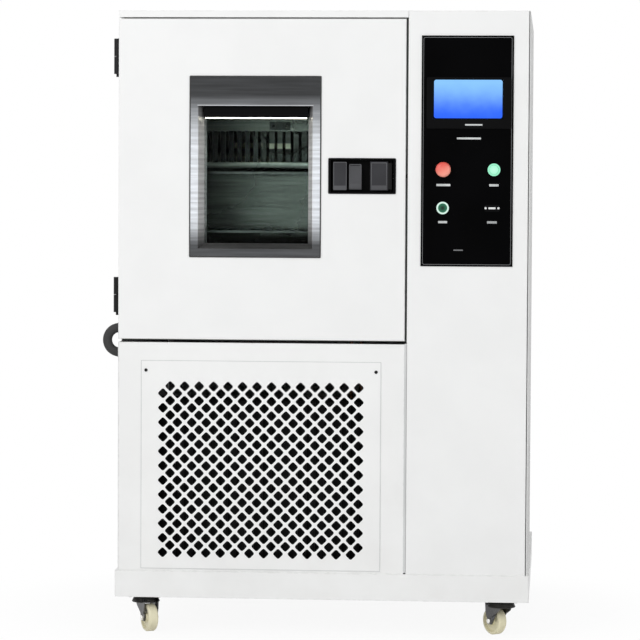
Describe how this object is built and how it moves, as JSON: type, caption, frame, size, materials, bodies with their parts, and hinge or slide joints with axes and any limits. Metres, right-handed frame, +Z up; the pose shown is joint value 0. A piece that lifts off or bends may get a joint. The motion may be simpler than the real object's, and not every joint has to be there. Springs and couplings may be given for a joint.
{
  "type": "environmental test chamber",
  "caption": "Floor-standing climatic test chamber on casters with a hinged windowed door, control column and vent grille.",
  "frame": {"origin": "on the floor under the middle of the whole outline", "axes": "+Z up, +X to the right seen from the front, the door and controls face -Y"},
  "size_m": [1.1525, 1.112, 1.6755],
  "materials": {
    "white_paint": "satin",
    "grey_paint": "satin",
    "galvanised": "satin",
    "stainless": "satin",
    "insulation": "matte",
    "silicone": "matte",
    "black_rubber": "matte",
    "black_plastic": "satin",
    "grey_plastic": "satin",
    "black_gloss": "gloss",
    "glass": "polished",
    "lamp_glass": "polished",
    "screen_glass": "gloss",
    "aluminium": "satin",
    "copper": "satin",
    "red_plastic": "gloss",
    "green_plastic": "gloss",
    "black_paint": "satin",
    "motor_paint": "satin",
    "wheel": "satin",
    "brass": "satin"
  },
  "bodies": {
    "cabinet": {"base_plinth": "grey_paint", "left_side_panel": "white_paint", "right_side_panel": "white_paint", "top_cover": "white_paint", "rear_panel": "white_paint", "inner_bulkheads": "galvanised", "control_column_front": "white_paint", "lower_front_frame": "grey_paint", "vent_grille_panel": "grey_paint", "cover_screws": "black_paint", "chamber_liner": "stainless", "chamber_insulation": "insulation", "air_duct_panel": "stainless", "heater_coil": "stainless", "evaporator": "aluminium", "humidifier_pan": "stainless", "shelf_rails": "stainless", "wire_shelves": "stainless", "sensor_probes": "stainless", "port_plug": "silicone", "blower_motor": "motor_paint", "compressor": "black_paint", "condenser": "aluminium", "condenser_fan_shroud": "galvanised", "refrigerant_pipes": "copper", "service_connections": "brass", "electrical_panel": "grey_plastic", "latch_strike": "stainless", "hinge_cabinet_halves": "black_paint", "door_conduit": "black_rubber", "control_panel_plate": "black_gloss", "touch_screen": "black_plastic", "screen_glass": "screen_glass", "button_bodies": "black_plastic", "caster_plates": "galvanised"},
    "door": {"door_skin": "white_paint", "door_inner_pan": "stainless", "door_insulation": "insulation", "door_gasket": "silicone", "window_frame": "stainless", "window_glass": "glass", "lamp_housing": "black_plastic", "lamp_tube": "lamp_glass", "latch_housing": "black_plastic", "hinge_door_halves": "black_paint"},
    "latch_button": {"latch_button": "grey_plastic"},
    "latch_lever": {"latch_lever": "grey_plastic"},
    "blower_wheel": {"blower_wheel": "aluminium"},
    "condenser_fan": {"condenser_fan": "black_plastic"},
    "emergency_stop": {"emergency_stop": "red_plastic"},
    "start_button": {"start_button": "green_plastic"},
    "light_button": {"light_button": "green_plastic"},
    "caster_fork_front_left": {"caster_fork_front_left": "galvanised"},
    "caster_wheel_front_left": {"caster_wheel_front_left": "wheel"},
    "caster_fork_front_right": {"caster_fork_front_right": "galvanised"},
    "caster_wheel_front_right": {"caster_wheel_front_right": "wheel"},
    "caster_fork_rear_left": {"caster_fork_rear_left": "galvanised"},
    "caster_wheel_rear_left": {"caster_wheel_rear_left": "wheel"},
    "caster_fork_rear_right": {"caster_fork_rear_right": "galvanised"},
    "caster_wheel_rear_right": {"caster_wheel_rear_right": "wheel"}
  },
  "joints": [
    {"name": "door_hinge", "type": "hinge", "parent": "cabinet", "child": "door", "pos_m": [-0.53875, -0.4625, 1.225], "axis": [0, 0, -1], "range_deg": [0, 120], "deforming": ["door_conduit"]},
    {"name": "latch_pull", "type": "hinge", "parent": "door", "child": "latch_lever", "pos_m": [0.20395, -0.517, 1.23575], "axis": [0, 0, 1], "range_deg": [0, 20]},
    {"name": "latch_button_press", "type": "slide", "parent": "door", "child": "latch_button", "axis": [0, 1, 0], "range_m": [0, 0.004], "stiffness_N_per_m": 400},
    {"name": "blower_spin", "type": "hinge", "parent": "cabinet", "child": "blower_wheel", "pos_m": [-0.14725, 0.22, 1.396], "axis": [0, 1, 0], "continuous": true},
    {"name": "condenser_fan_spin", "type": "hinge", "parent": "cabinet", "child": "condenser_fan", "pos_m": [-0.15225, -0.365, 0.4025], "axis": [0, 1, 0], "continuous": true},
    {"name": "emergency_stop_press", "type": "slide", "parent": "cabinet", "child": "emergency_stop", "axis": [0, 1, 0], "range_m": [0, 0.005], "stiffness_N_per_m": 500},
    {"name": "start_button_press", "type": "slide", "parent": "cabinet", "child": "start_button", "axis": [0, 1, 0], "range_m": [0, 0.004], "stiffness_N_per_m": 400},
    {"name": "light_button_press", "type": "slide", "parent": "cabinet", "child": "light_button", "axis": [0, 1, 0], "range_m": [0, 0.004], "stiffness_N_per_m": 400},
    {"name": "caster_swivel_front_left", "type": "hinge", "parent": "cabinet", "child": "caster_fork_front_left", "pos_m": [-0.46025, -0.45, 0.09], "axis": [0, 0, 1], "continuous": true},
    {"name": "caster_roll_front_left", "type": "hinge", "parent": "caster_fork_front_left", "child": "caster_wheel_front_left", "pos_m": [-0.4471, -0.47472, 0.0375], "axis": [0.8829, 0.4695, 0], "continuous": true},
    {"name": "caster_swivel_front_right", "type": "hinge", "parent": "cabinet", "child": "caster_fork_front_right", "pos_m": [0.50575, -0.45, 0.09], "axis": [0, 0, 1], "continuous": true},
    {"name": "caster_roll_front_right", "type": "hinge", "parent": "caster_fork_front_right", "child": "caster_wheel_front_right", "pos_m": [0.48775, -0.42855, 0.0375], "axis": [-0.766, -0.6428, 0], "continuous": true},
    {"name": "caster_swivel_rear_left", "type": "hinge", "parent": "cabinet", "child": "caster_fork_rear_left", "pos_m": [-0.46025, 0.45, 0.09], "axis": [0, 0, 1], "continuous": true},
    {"name": "caster_roll_rear_left", "type": "hinge", "parent": "caster_fork_rear_left", "child": "caster_wheel_rear_left", "pos_m": [-0.43267, 0.45486, 0.0375], "axis": [-0.1736, 0.9848, 0], "continuous": true},
    {"name": "caster_swivel_rear_right", "type": "hinge", "parent": "cabinet", "child": "caster_fork_rear_right", "pos_m": [0.50575, 0.45, 0.09], "axis": [0, 0, 1], "continuous": true},
    {"name": "caster_roll_rear_right", "type": "hinge", "parent": "caster_fork_rear_right", "child": "caster_wheel_rear_right", "pos_m": [0.48037, 0.43817, 0.0375], "axis": [0.4226, -0.9063, 0], "continuous": true}
  ]
}
